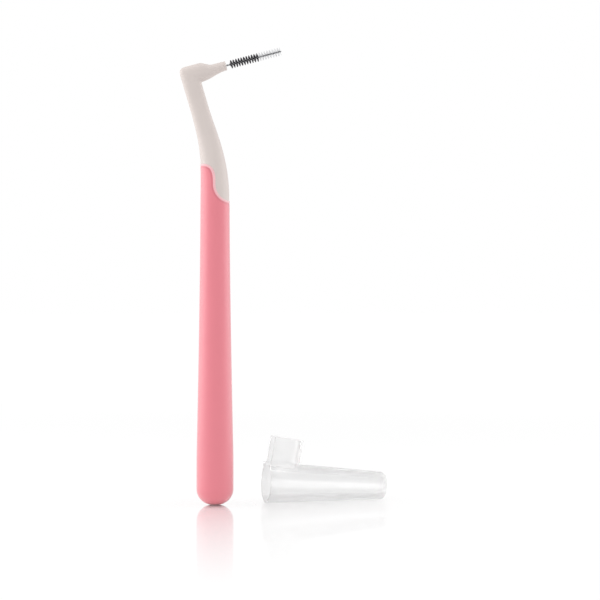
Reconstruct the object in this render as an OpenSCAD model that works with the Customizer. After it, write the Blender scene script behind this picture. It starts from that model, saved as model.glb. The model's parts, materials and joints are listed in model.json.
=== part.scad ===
// Interdental brush with an angled head, and its loose cap, in millimetres.
// The brush stands on the end of its handle and its head points to +X, turned a little towards -Y.
// The cap lies on its side beyond the handle along +X, with its mouth towards the handle.

/* [Handle] */
// Largest diameter, at the straight stretch near the lower end
handle_d = 10.2; // [9:0.1:10.2]
// Radius of the rounded edge at the lower end
handle_end_r = 4.4; // [2:0.1:4.4]
// Length of the straight stretch above the rounded end
handle_land = 8.6; // [4:0.1:14]
// Height at which the handle's taper ends
taper_top_h = 80; // [70:1:82]
// Diameter at the top of the taper
handle_top_d = 8.1; // [7.4:0.1:8.6]
// How far the grip stands proud of the neck along the seam
grip_proud = 0.1; // [0.05:0.01:0.2]

/* [Seam] */
// Rise from the taper's top to the seam on the bristle side
seam_front_rise = 3.3; // [3:0.1:5]
// Rise from there to where the seam runs straight up
seam_side_rise = 5.2; // [4:0.1:6.5]
// Rise from there to the seam on the back
seam_back_rise = 5.4; // [4:0.1:7]
// How far behind the handle's axis the seam runs straight up
seam_back_offset = 0.25; // [0:0.05:0.6]

/* [Core] */
// Diameter of the carrier core inside the grip
core_d = 4.6; // [3.6:0.1:5]
// Height of the core's lower end
core_foot_h = 12; // [8:1:20]
// How far the core reaches above where the seam runs straight up, inside the neck
core_reach = 1.5; // [0.5:0.1:2.5]

/* [Neck] */
// Rise from the taper's top to where the neck starts to bend back
bend_rise = 6.2; // [5:0.1:10]
// Radius of the bend, at the neck's middle
bend_r = 60; // [45:1:70]
// Lean of the neck from upright, in degrees
neck_lean = 16.5; // [12:0.5:20]
// Length of the straight neck between the bend and the elbow
neck_straight = 12.9; // [10:0.1:18]
// Width of the neck seen from the side
neck_w = 5.1; // [4.6:0.05:6]
// Thickness of the neck seen from the front
neck_t = 4; // [3.4:0.05:4.1]
// Rise from the taper's top to where the neck starts to narrow
narrowing_rise = 4; // [2:0.1:8]
// Length over which the neck narrows
narrowing_len = 26; // [16:1:28]

/* [Head] */
// Angle of the head and the wire above level, in degrees
head_tilt = 14.8; // [10:0.2:22]
// Radius inside the elbow
elbow_r = 0.4; // [0.2:0.05:0.8]
// Height of the head at the elbow
head_h = 5.15; // [4.6:0.05:6]
// Length of the head from the elbow's inner corner to the nose
head_len = 7.4; // [6.5:0.05:11]
// Diameter of the nose that holds the wire
nose_d = 2.6; // [2.2:0.05:3]
// Height of the wire above the elbow's inner corner
nose_axis_h = 2.6; // [2.4:0.05:3.2]
// Width of the bevel round the nose's face
nose_bevel = 0.2; // [0.1:0.05:0.4]

/* [Wire and bristles] */
// Diameter of the wire
wire_d = 0.23; // [0.18:0.01:0.28]
// Length of the twisted wire beyond the nose
wire_free = 15.8; // [12:0.1:20]
// Length of the twisted wire inside the nose
wire_embed = 4; // [2.5:0.1:5]
// Length of one full turn of the twist
twist_pitch = 1.48; // [1.3:0.01:2]
// Bare wire between the nose and the first bristles
bare_wire = 1.05; // [0.6:0.05:2]
// Length of the black bristle section
black_len = 8.15; // [6:0.05:10]
// Gap between the two bristle sections
section_gap = 0.04; // [0.02:0.01:0.2]
// Length of the clear bristle section
clear_len = 6.3; // [4:0.1:8]
// Diameter across the black bristles
black_d = 2.45; // [1.8:0.05:4]
// Diameter across the clear bristles
clear_d = 2.5; // [1.8:0.05:4]
// Thickness of a bristle at its tip
bristle_t = 0.06; // [0.04:0.01:0.07]
// Bristle pairs in the black section
black_pairs = 112; // [90:1:120]
// Bristle pairs in the clear section
clear_pairs = 80; // [70:1:90]

/* [Stance] */
// Turn of the brush about its handle's axis, from +X towards -Y, in degrees
brush_turn = 14; // [0:1:14]

/* [Cap] */
// Distance from the handle's axis to the cap's mouth
cap_gap = 14.6; // [13:0.1:30]
// Length of the cap
cap_len = 34.4; // [31:0.1:40]
// Outer diameter at the mouth
cap_mouth_d = 11.6; // [11.6:0.1:12.4]
// Outer diameter at the closed end
cap_end_d = 7.8; // [7:0.1:9]
// Thickness of the cap's wall
cap_wall = 0.65; // [0.5:0.05:0.65]
// Radius of the rounded edge at the closed end
cap_end_r = 1.2; // [0.8:0.1:1.6]
// Length of the straight seat inside the mouth
seat_len = 3; // [2:0.1:5]
// Clearance round the handle when the cap is pushed onto its end
seat_clearance = 0.05; // [0.02:0.01:0.1]

/* [Cap channel] */
// Height of the channel's top above the cap's axis
channel_rise = 12.9; // [11:0.1:14]
// Outer depth of the channel, from its open front to its round back
channel_depth = 8.7; // [8:0.1:10]
// Side clearance between the neck and the channel
channel_clearance = 0.15; // [0.1:0.05:0.3]
// Lean of the channel towards the closed end, in degrees
channel_lean = 7; // [0:0.5:10]
// How far the channel's front edge starts ahead of the mouth, at the axis
channel_lead = 0.25; // [0:0.05:0.6]
// Half width of the shoulder where the channel joins the cap
shoulder_half_w = 4.6; // [4:0.1:5]
// Height of the shoulder's top above the cap's axis
shoulder_rise = 5.3; // [5:0.1:6]
// Depth of the shoulder
shoulder_depth = 8.2; // [7:0.1:9]
// Radius of the shoulder's back corners
shoulder_corner_r = 1.4; // [0.8:0.1:2]

/* [Hidden] */
$fn = 48;

// Counts that set how finely the curved forms are drawn
loft_sides = 24;
neck_steps = 18;
elbow_steps = 9;
head_steps = 10;
taper_steps = 10;
arc_steps = 8;
seam_steps = 7;
wire_sides = 6;
wire_steps_per_turn = 8;
wire_fold_steps = 5;

// How far cuts run past what they cut, and how far joined forms reach into each other and lie below each other
overrun = 1;
overlap = 0.5;
lap = 0.02;

// Thickness of the slice of filament between the wire's runs, its width, and how far the wire bites into it
slice_t = 0.08;
slice_w = 0.26;
nip = 0.01;

// Powers that square up the neck's section, the seam's upper round, the taper and the elbow's corner
round_power = 2;
neck_power = 2.5;
seam_power = 3;
taper_power = 1.4;
corner_power = 8;

// Shares of the head's length over which its top drops, its underside rises and its sides close in
head_top_shares = [0.02, 0.5];
head_under_shares = [0, 0.94];
head_side_shares = [0.1, 0.75];

// Sizes worked out from the ones above
handle_r = handle_d / 2;
handle_top_r = handle_top_d / 2;
land_top_h = handle_end_r + handle_land;
seam_front_h = taper_top_h + seam_front_rise;
seam_mid_h = seam_front_h + seam_side_rise;
seam_back_h = seam_mid_h + seam_back_rise;
core_top_h = seam_mid_h + core_reach;
bend_h = taper_top_h + bend_rise;
loft_base_h = taper_top_h - overlap;
neck_base_d = handle_top_d - 2 * (grip_proud + lap);
arc_len = bend_r * neck_lean * PI / 180;
upright_len = bend_h - loft_base_h;
neck_len = upright_len + arc_len + neck_straight;
narrowing_start = taper_top_h + narrowing_rise - loft_base_h;
nose_top_h = nose_axis_h + nose_d / 2;
nose_under_h = nose_axis_h - nose_d / 2;
wire_reach = (slice_t + wire_d) / 2 - nip;
wire_hole_r = wire_reach + wire_d / 2 + nip;

cap_mouth_r = cap_mouth_d / 2;
cap_end_outer_r = cap_end_d / 2;
cap_dip = atan((cap_mouth_r - cap_end_outer_r) / cap_len);
seat_r = handle_r + seat_clearance;
channel_inner_half_w = neck_t / 2 + channel_clearance;
channel_half_w = channel_inner_half_w + cap_wall;

// A smooth step from 0 to 1
function smooth(x) =
    let (t = min(max(x, 0), 1))
    t * t * (3 - 2 * t);

// Where x lies between two shares, run through the smooth step
function eased(x, shares) = smooth((x - shares[0]) / (shares[1] - shares[0]));

// A cosine or sine raised to the power that squares up an ellipse
function squared(value, power) = sign(value) * pow(abs(value), 2 / power);

// Radius of the handle at a height above its straight stretch
function taper_r(z) =
    let (t = (z - land_top_h) / (taper_top_h - land_top_h))
    handle_r - (handle_r - handle_top_r) * (1 - pow(1 - t, taper_power));

// Middle and tilt of the neck at a distance along it from the loft's base
function neck_tilt(s) = min(max((s - upright_len) / arc_len, 0), 1) * neck_lean;
function neck_middle(s) =
    let (a = neck_tilt(s))
    let (beyond = max(s - upright_len - arc_len, 0))
    [
        -bend_r * (1 - cos(a)) - beyond * sin(a),
        min(loft_base_h + s, bend_h) + bend_r * sin(a) + beyond * cos(a)
    ];
function neck_share(s) = smooth((s - narrowing_start) / narrowing_len);

// A rung is one section: its inner point, its outer point, half its thickness and its power
function neck_rung(s, grow) =
    let (a = neck_tilt(s))
    let (share = neck_share(s))
    let (half_w = (neck_base_d + (neck_w - neck_base_d) * share) / 2 + grow)
    let (half_t = (neck_base_d + (neck_t - neck_base_d) * share) / 2 + grow)
    let (across = [cos(a), sin(a)])
    [
        neck_middle(s) + half_w * across,
        neck_middle(s) - half_w * across,
        half_t,
        round_power + (neck_power - round_power) * share
    ];

// The elbow fans round a centre just outside its inner corner
elbow_centre = neck_rung(neck_len, 0)[0] + elbow_r * [cos(neck_lean), sin(neck_lean)];
elbow_from = 180 + neck_lean;
elbow_to = 90 + head_tilt;
neck_line = neck_w + elbow_r;
head_line = head_h + elbow_r;

// Distance to the elbow's outside, where the back line and the top line meet in a rounded corner
function elbow_reach(angle) =
    let (to_back = max(cos(angle - elbow_from), 0) / neck_line)
    let (to_top = max(cos(angle - elbow_to), 0) / head_line)
    pow(pow(to_back, corner_power) + pow(to_top, corner_power), -1 / corner_power);
function elbow_rung(i) =
    let (angle = elbow_from + (elbow_to - elbow_from) * i / elbow_steps)
    let (ray = [cos(angle), sin(angle)])
    [
        elbow_centre + elbow_r * ray,
        elbow_centre + elbow_reach(angle) * ray,
        neck_t / 2,
        neck_power
    ];

// The head runs straight along its own axis from the elbow to the nose
head_along = [cos(head_tilt), sin(head_tilt)];
head_up = [-sin(head_tilt), cos(head_tilt)];
head_start = elbow_centre + elbow_r * head_up;
head_top_start = elbow_reach(elbow_to) - elbow_r;
function head_rung(s, bevel) =
    let (share = s / head_len)
    let (side = eased(share, head_side_shares))
    let (top = head_top_start + (nose_top_h - head_top_start) * eased(share, head_top_shares))
    let (under = nose_under_h * eased(share, head_under_shares))
    [
        head_start + s * head_along + (under + bevel) * head_up,
        head_start + s * head_along + (top - bevel) * head_up,
        neck_t / 2 + (nose_d - neck_t) / 2 * side - bevel,
        neck_power + (round_power - neck_power) * side
    ];

neck_rungs = [for (i = [0 : neck_steps]) neck_rung(neck_len * i / neck_steps, 0)];
elbow_rungs = [for (i = [1 : elbow_steps]) elbow_rung(i)];
head_rungs = [for (i = [1 : head_steps]) head_rung((head_len - nose_bevel) * i / head_steps, 0)];
nose_rung = [head_rung(head_len, nose_bevel)];
moulding_rungs = concat(neck_rungs, elbow_rungs, head_rungs, nose_rung);

// Where the wire leaves the nose
nose_point = head_start + head_len * head_along + nose_axis_h * head_up;

// The seam in the XZ plane, from the back over a rounded shoulder, down, and out to the front
seam_reach = handle_top_r + overrun;
seam_upper = [
    for (i = [0 : seam_steps])
        let (a = 90 - 90 * i / seam_steps)
        [
            -seam_reach + (seam_reach - seam_back_offset) * squared(cos(a), seam_power),
            seam_mid_h + (seam_back_h - seam_mid_h) * squared(sin(a), seam_power)
        ]
];
seam_lower = [
    for (i = [1 : seam_steps])
        let (a = 90 * i / seam_steps)
        [
            handle_top_r - (handle_top_r + seam_back_offset) * cos(a),
            seam_mid_h - (seam_mid_h - seam_front_h) * sin(a)
        ]
];
seam_line = concat(seam_upper, seam_lower, [[seam_reach, seam_front_h]]);

// The whole part stands centred over its origin
back_x = min([
    for (rung = moulding_rungs)
        for (point = ring(rung)) point[0] * cos(brush_turn) + point[1] * sin(brush_turn)
]);
cap_end_x = cap_gap
    + (cap_len - cap_end_r) * cos(cap_dip)
    + (cap_end_outer_r - cap_end_r) * sin(cap_dip)
    + cap_end_r;
centre_x = (back_x + cap_end_x) / 2;

// One ring of points round a rung
function ring(rung) =
    let (middle = (rung[0] + rung[1]) / 2)
    let (half = (rung[0] - rung[1]) / 2)
    [
        for (k = [0 : loft_sides - 1])
            let (a = 360 * k / loft_sides)
            let (c = squared(cos(a), rung[3]))
            let (s = squared(sin(a), rung[3]))
            [middle[0] + half[0] * c, rung[2] * s, middle[1] + half[1] * c]
    ];

// Triangles that join rings of equal count, with flat ends
function tube_faces(rings, sides) = concat(
    [
        for (i = [0 : rings - 2])
            for (k = [0 : sides - 1])
                let (next = (k + 1) % sides)
                for (face = [
                    [i * sides + k, (i + 1) * sides + k, i * sides + next],
                    [i * sides + next, (i + 1) * sides + k, (i + 1) * sides + next]
                ]) face
    ],
    [for (k = [1 : sides - 2]) [0, k, k + 1]],
    [for (k = [1 : sides - 2]) [(rings - 1) * sides, (rings - 1) * sides + k + 1, (rings - 1) * sides + k]]
);

module loft(rungs) {
    points = [for (rung = rungs) for (point = ring(rung)) point];
    polyhedron(points, tube_faces(len(rungs), loft_sides), convexity = 6);
}

// Puts a brush piece in the part's frame
module on_brush() {
    translate([-centre_x, 0, 0]) rotate([0, 0, -brush_turn]) children();
}

// Puts a piece that is drawn along +Z on the wire's axis, with zero at the nose's face
module on_wire() {
    on_brush()
        translate([nose_point[0], 0, nose_point[1]])
            rotate([0, 90 - head_tilt, 0])
                children();
}

// The space below and behind the seam
module below_seam() {
    rotate([90, 0, 0])
        linear_extrude(2 * seam_reach, center = true)
            polygon(concat(
                seam_line,
                [[seam_reach, loft_base_h - overrun], [-seam_reach, loft_base_h - overrun]]
            ));
}

module handle_form() {
    rotate_extrude()
        polygon(concat(
            [[0, 0]],
            [
                for (i = [0 : arc_steps])
                    let (a = 90 * i / arc_steps)
                    [handle_r - handle_end_r * (1 - sin(a)), handle_end_r * (1 - cos(a))]
            ],
            [
                for (i = [0 : taper_steps])
                    let (z = land_top_h + (taper_top_h - land_top_h) * i / taper_steps)
                    [taper_r(z), z]
            ],
            [[0, taper_top_h]]
        ));
}

module core() {
    translate([0, 0, core_foot_h]) cylinder(d = core_d, h = core_top_h - core_foot_h);
}

module grip() {
    grip_top = seam_back_h - loft_base_h + overrun;
    rungs = [for (i = [0 : neck_steps]) neck_rung(grip_top * i / neck_steps, grip_proud)];
    color("lightpink")
        on_brush()
            difference() {
                union() {
                    handle_form();
                    intersection() {
                        loft(rungs);
                        below_seam();
                    }
                }
                core();
            }
}

module neck() {
    color("gainsboro")
        difference() {
            on_brush()
                union() {
                    difference() {
                        loft(moulding_rungs);
                        below_seam();
                    }
                    core();
                }
            on_wire()
                translate([0, 0, -wire_embed])
                    cylinder(r = wire_hole_r, h = wire_embed + overrun);
        }
}

// One run of the wire: a point on a helix, and its outward direction
function turn_angle(z) = 360 * z / twist_pitch;
function run_out(z, side) = [cos(turn_angle(z) + side), sin(turn_angle(z) + side), 0];

// A ring of the wire round a point, square to its path
function wire_ring(point, out, along) =
    let (across = cross(along, out))
    [
        for (k = [0 : wire_sides - 1])
            let (a = 360 * k / wire_sides)
            point + wire_d / 2 * (cos(a) * out + sin(a) * across)
    ];
function run_ring(z, side, way) =
    let (out = run_out(z, side))
    let (sweep = 2 * PI * wire_reach / twist_pitch)
    let (around = [-out[1], out[0], 0])
    let (along = way * (sweep * around + [0, 0, 1]) / norm([sweep, 1]))
    wire_ring(wire_reach * out + [0, 0, z], out, along);

module wire() {
    fold_z = wire_free - wire_reach - wire_d / 2;
    run_len = fold_z + wire_embed;
    steps = ceil(run_len / twist_pitch * wire_steps_per_turn);
    first_side = 90;
    second_side = 270;
    fold_out = run_out(fold_z, first_side);
    up_rings = [
        for (i = [0 : steps])
            run_ring(run_len * i / steps - wire_embed, first_side, 1)
    ];
    fold_rings = [
        for (i = [1 : wire_fold_steps - 1])
            let (a = 180 * i / wire_fold_steps)
            let (out = cos(a) * fold_out + [0, 0, sin(a)])
            let (along = [0, 0, cos(a)] - sin(a) * fold_out)
            wire_ring([0, 0, fold_z] + wire_reach * out, out, along)
    ];
    down_rings = [
        for (i = [0 : steps])
            run_ring(fold_z - run_len * i / steps, second_side, -1)
    ];
    rings = concat(up_rings, fold_rings, down_rings);
    color("silver")
        on_wire()
            polyhedron(
                [for (one = rings) for (point = one) point],
                tube_faces(len(rings), wire_sides),
                convexity = 10
            );
}

// Corners of the slice between the wire's runs, at a height on the axis
function slice_corners(z) =
    let (a = turn_angle(z))
    let (out = [cos(a), sin(a), 0])
    let (across = [-sin(a), cos(a), 0])
    let (up = [0, 0, z])
    [
        up + slice_w / 2 * out - slice_t / 2 * across,
        up + slice_w / 2 * out + slice_t / 2 * across,
        up - slice_w / 2 * out + slice_t / 2 * across,
        up - slice_w / 2 * out - slice_t / 2 * across
    ];

// Corners of one bristle's tip, from its lower edge round to its upper one
function tip_corners(z, side, reach) =
    let (a = turn_angle(z) + side)
    let (out = [cos(a), sin(a), 0])
    let (across = [-sin(a), cos(a), 0])
    let (middle = reach * out + [0, 0, z])
    let (up = [0, 0, bristle_t / 2])
    [
        middle - bristle_t / 2 * across - up,
        middle + bristle_t / 2 * across - up,
        middle + bristle_t / 2 * across + up,
        middle - bristle_t / 2 * across + up
    ];

// Triangles of one four-sided bristle, from its base's corners and its tip's corners
function bristle_faces(base, tip) = concat(
    [
        for (k = [0 : 3])
            let (next = (k + 1) % 4)
            for (face = [
                [base[k], tip[next], base[next]],
                [base[k], tip[k], tip[next]]
            ]) face
    ],
    [[tip[0], tip[2], tip[1]], [tip[0], tip[3], tip[2]]]
);

// Pairs of bristles that wind round the axis as the wire does, on one slice of filament
module bristle_section(start, length, diameter, pairs) {
    slice_points = [
        for (j = [0 : pairs])
            for (corner = slice_corners(start + length * j / pairs)) corner
    ];
    tip_points = [
        for (j = [0 : pairs - 1])
            let (z = start + length * (j + 1 / 2) / pairs)
            for (side = [0, 180])
                for (corner = tip_corners(z, side, diameter / 2)) corner
    ];
    tips_from = len(slice_points);
    faces = concat(
        [
            for (j = [0 : pairs - 1])
                let (low = 4 * j)
                let (high = low + 4)
                let (tip = tips_from + 8 * j)
                for (face = concat(
                    bristle_faces(
                        [low, low + 1, high + 1, high],
                        [tip, tip + 1, tip + 2, tip + 3]
                    ),
                    bristle_faces(
                        [low + 2, low + 3, high + 3, high + 2],
                        [tip + 4, tip + 5, tip + 6, tip + 7]
                    ),
                    [
                        [low + 1, high + 2, low + 2],
                        [low + 1, high + 1, high + 2],
                        [low + 3, high, low],
                        [low + 3, high + 3, high]
                    ]
                )) face
        ],
        [[0, 1, 2], [0, 2, 3]],
        [
            [4 * pairs, 4 * pairs + 2, 4 * pairs + 1],
            [4 * pairs, 4 * pairs + 3, 4 * pairs + 2]
        ]
    );
    on_wire() polyhedron(concat(slice_points, tip_points), faces, convexity = 10);
}

module bristles_black() {
    color("black") bristle_section(bare_wire, black_len, black_d, black_pairs);
}

module bristles_clear() {
    start = bare_wire + black_len + section_gap;
    color("white") bristle_section(start, clear_len, clear_d, clear_pairs);
}

// The cap is drawn along +Z from its mouth, with the channel towards -X
module on_floor() {
    translate([cap_gap - centre_x, 0, cap_mouth_r * cos(cap_dip)])
        rotate([0, 90 + cap_dip, 0])
            children();
}

module cap_outside() {
    rotate_extrude()
        polygon(concat(
            [[0, 0], [cap_mouth_r, 0]],
            [
                for (i = [0 : arc_steps])
                    let (a = cap_dip + (90 - cap_dip) * i / arc_steps)
                    [
                        cap_end_outer_r - cap_end_r * (1 - cos(a)),
                        cap_len - cap_end_r * (1 - sin(a))
                    ]
            ],
            [[0, cap_len]]
        ));
}

function cap_inner_r(z) = cap_mouth_r - cap_wall - z * tan(cap_dip);

module cap_inside() {
    floor_z = cap_len - cap_wall;
    floor_edge_z = floor_z - (cap_end_r - cap_wall);
    rotate_extrude()
        polygon([
            [0, -overrun],
            [seat_r, -overrun],
            [seat_r, seat_len],
            [cap_inner_r(seat_len), seat_len],
            [cap_inner_r(floor_edge_z), floor_edge_z],
            [cap_inner_r(floor_z) - (cap_end_r - cap_wall), floor_z],
            [0, floor_z]
        ]);
}

// A prism that rises from the cap's axis, leaning towards the closed end
module rising(rise, lean) {
    rotate([0, lean - 90, 0])
        linear_extrude(rise / cos(lean))
            children();
}

module channel_rising(rise) {
    translate([0, 0, -channel_lead]) rising(rise, channel_lean) children();
}

module round_backed(half_w, depth) {
    translate([0, -half_w]) square([depth - half_w, 2 * half_w]);
    translate([depth - half_w, 0]) circle(half_w);
}

module shoulder_plan() {
    straight = shoulder_depth - shoulder_corner_r;
    corner_y = shoulder_half_w - shoulder_corner_r;
    translate([0, -shoulder_half_w]) square([straight, 2 * shoulder_half_w]);
    translate([0, -corner_y]) square([shoulder_depth, 2 * corner_y]);
    for (side = [-1, 1]) {
        translate([straight, side * corner_y]) circle(shoulder_corner_r);
    }
}

module cap() {
    color([0.9, 0.94, 0.96, 0.5])
        on_floor()
            difference() {
                union() {
                    cap_outside();
                    channel_rising(channel_rise) round_backed(channel_half_w, channel_depth);
                    rising(shoulder_rise, 0) shoulder_plan();
                }
                cap_inside();
                channel_rising(channel_rise + overrun)
                    translate([-overrun, 0])
                        round_backed(channel_inner_half_w, channel_depth - cap_wall + overrun);
            }
}

grip();
neck();
wire();
bristles_black();
bristles_clear();
cap();
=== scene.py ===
"""Dresses the packed interdental brush and its clear travel cap for rendering."""

import json
import math

import bpy
import numpy as np
from bpy.props import FloatProperty, FloatVectorProperty, IntProperty, PointerProperty
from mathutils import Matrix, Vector


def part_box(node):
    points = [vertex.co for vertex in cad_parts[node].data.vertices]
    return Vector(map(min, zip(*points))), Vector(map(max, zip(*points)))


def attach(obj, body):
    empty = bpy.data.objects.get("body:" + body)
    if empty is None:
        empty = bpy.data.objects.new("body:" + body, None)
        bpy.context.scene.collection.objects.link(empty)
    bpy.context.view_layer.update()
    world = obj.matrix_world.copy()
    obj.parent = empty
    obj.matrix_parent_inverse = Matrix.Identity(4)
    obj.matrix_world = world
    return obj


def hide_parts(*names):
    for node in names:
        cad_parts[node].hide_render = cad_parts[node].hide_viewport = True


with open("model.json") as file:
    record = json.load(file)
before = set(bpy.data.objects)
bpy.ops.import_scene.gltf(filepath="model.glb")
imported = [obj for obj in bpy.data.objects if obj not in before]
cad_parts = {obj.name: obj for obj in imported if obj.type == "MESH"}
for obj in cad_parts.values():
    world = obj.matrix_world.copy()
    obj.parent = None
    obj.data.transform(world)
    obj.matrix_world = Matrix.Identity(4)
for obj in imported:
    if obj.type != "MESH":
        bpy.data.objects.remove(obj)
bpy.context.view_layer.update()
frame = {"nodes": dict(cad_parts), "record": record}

bl_info = {
    "name": "Interdental brush",
    "version": (1, 0, 0),
    "blender": (4, 5, 0),
    "location": "3D View > Sidebar > Interdental brush",
    "description": "Builds the handle, neck, twisted wire, filaments and travel cap of an interdental brush",
    "category": "Add Mesh",
}

MM = 0.001
GRIP_LOW, GRIP_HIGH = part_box("grip")
HANDLE_X = (GRIP_LOW.x + GRIP_HIGH.x) / 2
CAP_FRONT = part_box("cap")[0].x
COLOURS = {entry["slot"]: entry["base_color"] for entry in frame["record"]["materials"]}

# Powers of the sections and of the seam's back: 2 is a circle or an ellipse, and more is squarer
ROUND_POWER = 2.0
NECK_POWER = 2.5
SEAM_POWER = 3.2
# Powers of the handle's taper and of the mean that rounds the elbow
TAPER_POWER = 1.4
ELBOW_POWER = 8

# The neck's middle line starts this far below the taper's top
BASE_DROP = 0.5 * MM
# Extra clearance of the sleeve below the taper's top, and the length above it over which it eases away
LAP = 0.02 * MM
LAP_EASE = 4.0 * MM
# The seam is drawn on past the back by this much
SEAM_OVERRUN = 1.0 * MM
# The sleeve's even angles hold up to this height, and the seam's angles from this far along the middle line
EVEN_BELOW = 72.0 * MM
SEAM_ANGLES_FROM = 1.5 * MM
# The lip along the seam: distance from the seam over the skin and stand off the skin, both in millimetres
LIP_PROFILE = (
    (1.3, 0.0), (1.1, 0.0), (0.95, -0.015), (0.8, -0.05), (0.7, -0.06),
    (0.62, -0.035), (0.52, 0.01), (0.4, 0.035), (0.3, 0.05), (0.2, 0.045),
    (0.11, 0.02), (0.045, -0.02), (0.01, -0.06), (0.0, -0.11), (0.0, -0.26),
)
# What the rings below the lip say for their distance from the seam, in millimetres
FAR_FROM_SEAM = 5.0

# Distances of the neck's first rings from the seam in millimetres, the first of them under the sleeve
NECK_EDGE = (0.14, 0.0, -0.15, -0.4)
# Places along the middle line: the neck keeps the seam's angles to the first and is even from the second
NECK_SEAM_ANGLES_TO = 16.5 * MM
NECK_EVEN_FROM = 22.0 * MM
# The elbow's outer line lies this much inside its rounded corner at the middle of the turn
ELBOW_FLAT = 0.015 * MM
# Shares of the head's length: where its top and sides start to close in, and over how much they do so
TOP_START = 0.02
TOP_RUN = 0.48
UNDER_RUN = 0.94
SIDE_START = 0.1
SIDE_RUN = 0.65
# The collar's groove: its depth and half width, and how far from it the rings are set close
GROOVE = 0.09 * MM
GROOVE_ZONE = 0.25 * MM
# The dimple round the wire: its rim, its inner ring and how deep that lies, and its depth at the middle
DIMPLE_RIM = 0.42 * MM
DIMPLE_INNER = 0.3 * MM
DIMPLE_STEP = 0.1 * MM
DIMPLE_DEPTH = 0.22 * MM

# How many points, rings, steps or sides each form is drawn with
SEAM_POINTS = 700
SEAM_STEPS = 12
HALF_RING = 64
FOOT_RINGS = 15
STRAIGHT_RINGS = 5
TAPER_RINGS = 28
EASING_RINGS = 12
COLUMN_RINGS = 10
NECK_COLUMN_RINGS = 14
NECK_EASING_RINGS = 10
NECK_EVEN_RINGS = 30
ELBOW_RINGS = 23
HEAD_RINGS = 38
GROOVE_RINGS = 15
COLLAR_RINGS = 4
BEVEL_RINGS = 5
WIRE_STEPS_A_TURN = 26
FOLD_POINTS = 14
WIRE_SIDES = 12
FILAMENT_RINGS = 5
SHARP_ANGLE = math.radians(50.0)

# How much chance moves a filament's place, turn, reach, lean and droop
PLACE_CHANCE = 0.3
TURN_CHANCE = math.radians(3.5)
REACH_CHANCE = 0.025
LEAN_CHANCE = 0.025 * MM
DROOP_CHANCE = 0.02 * MM
BLACK_SEED = 11
CLEAR_SEED = 23

# The darker line of painted shade behind the lip, where the groove lies, and the lip's own edge, in
# millimetres from the seam
SHADE_LINE_MIDDLE = 0.95
SHADE_LINE_REACH = 0.35
SHADE_LINE_TONE = 0.84
LIP_EDGE = 0.68
LIP_FADE = 0.14
# How much less light the cap's wall lets straight on at the front rim, and the tone of its haze
RIM_BEND = 0.5
HAZE_TONE = 0.9

# The floor's mirror: its share at the handle, how that falls off, and what is added close to the handle
MIRROR_SHARE = 0.56
MIRROR_POWER = 1.2
CONTACT_SHARE = 0.4
CONTACT_REACH = 9.0 * MM
# Near the handle the floor is part lit grey and part glow. Further off the grey fades and the glow grows
SHADE_START = 1.6
SHADE_FALL = 0.5
SHADE_GREY = 0.34
GLOW = 1.01
GLOW_SHADED = 0.375
FLOOR_TONE = 0.92
FLOOR_GLOSS = 0.03
FLOOR_REACH = 6.0
FLOOR_DROP = 0.02 * MM

# Each soft lamp's place from the camera's target, aside, back and up, its width and height, and its power
LAMPS = (
    ("key_lamp", (-0.45, -0.01, 0.06), (0.5, 0.5), "key"),
    ("fill_lamp", (0.46, -0.1, 0.06), (0.4, 0.5), "fill"),
    ("top_lamp", (0.0, 0.15, 0.55), (0.5, 0.4), "top"),
)
# The strip lamp looks at the cap's middle from this far off in this direction
STRIP_AIM = (0.012, 0.0, 0.006)
STRIP_WAY = (0.48, -0.87, -0.06)
STRIP_DISTANCE = 0.5
STRIP_SIZE = (0.2, 0.36)


def length(name, description, millimetres):
    """A panel length with its default in millimetres."""
    return FloatProperty(
        name=name, description=description, default=millimetres * MM, min=0.0, precision=5, unit="LENGTH"
    )


def share(name, description, default):
    """A panel number between 0 and 1."""
    return FloatProperty(
        name=name, description=description, default=default, min=0.0, max=1.0, subtype="FACTOR"
    )


def tint(name, description, default):
    """A panel colour."""
    return FloatVectorProperty(
        name=name, description=description, default=default[:3], min=0.0, max=1.0, size=3, subtype="COLOR"
    )


def turn(name, description, degrees):
    """A panel angle with its default in degrees."""
    return FloatProperty(name=name, description=description, default=math.radians(degrees), unit="ROTATION")


def lamp_power(name, description, default):
    """A panel lamp power."""
    return FloatProperty(name=name, description=description, default=default, subtype="POWER")


def filament_count(name, default, least):
    """A panel count of filaments."""
    return IntProperty(name=name, description="Filaments through the wire", default=default, min=least)


class HandleSizes(bpy.types.PropertyGroup):
    """The pink handle sleeve and its seam."""

    stance: turn("Turn", "Turn of the brush about its handle's axis, from +X towards -Y", 14.0)
    diameter: length("Diameter", "Across the straight stretch near the lower end", 10.2)
    end_radius: length("End radius", "Radius of the rounded lower end", 4.4)
    straight: length("Straight stretch", "Length above the rounded end before the taper", 8.6)
    taper_top: length("Taper top", "Height at which the taper ends", 80.0)
    top_diameter: length("Top diameter", "Across the top of the taper", 8.1)
    proud: length("Proud", "How far the sleeve stands proud of the neck", 0.1)
    seam_front: length("Seam front", "Rise from the taper's top to the seam on the bristle side", 3.8)
    seam_side: length("Seam side", "Rise from there to where the seam runs straight up", 4.5)
    seam_back: length("Seam back", "Rise from there to the seam on the back", 5.7)
    seam_lead: length("Seam lead", "How far in front of the axis the seam runs straight up", 0.25)
    colour: tint("Colour", "Pink of the sleeve", (0.77, 0.2, 0.245))
    lip_colour: tint("Lip colour", "Paler pink of the thin lip along the seam", (0.84, 0.47, 0.5))
    roughness: share("Roughness", "Roughness of the sleeve", 0.38)
    sheen: share("Sheen", "How much the sleeve pales where it turns away", 0.5)


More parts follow.
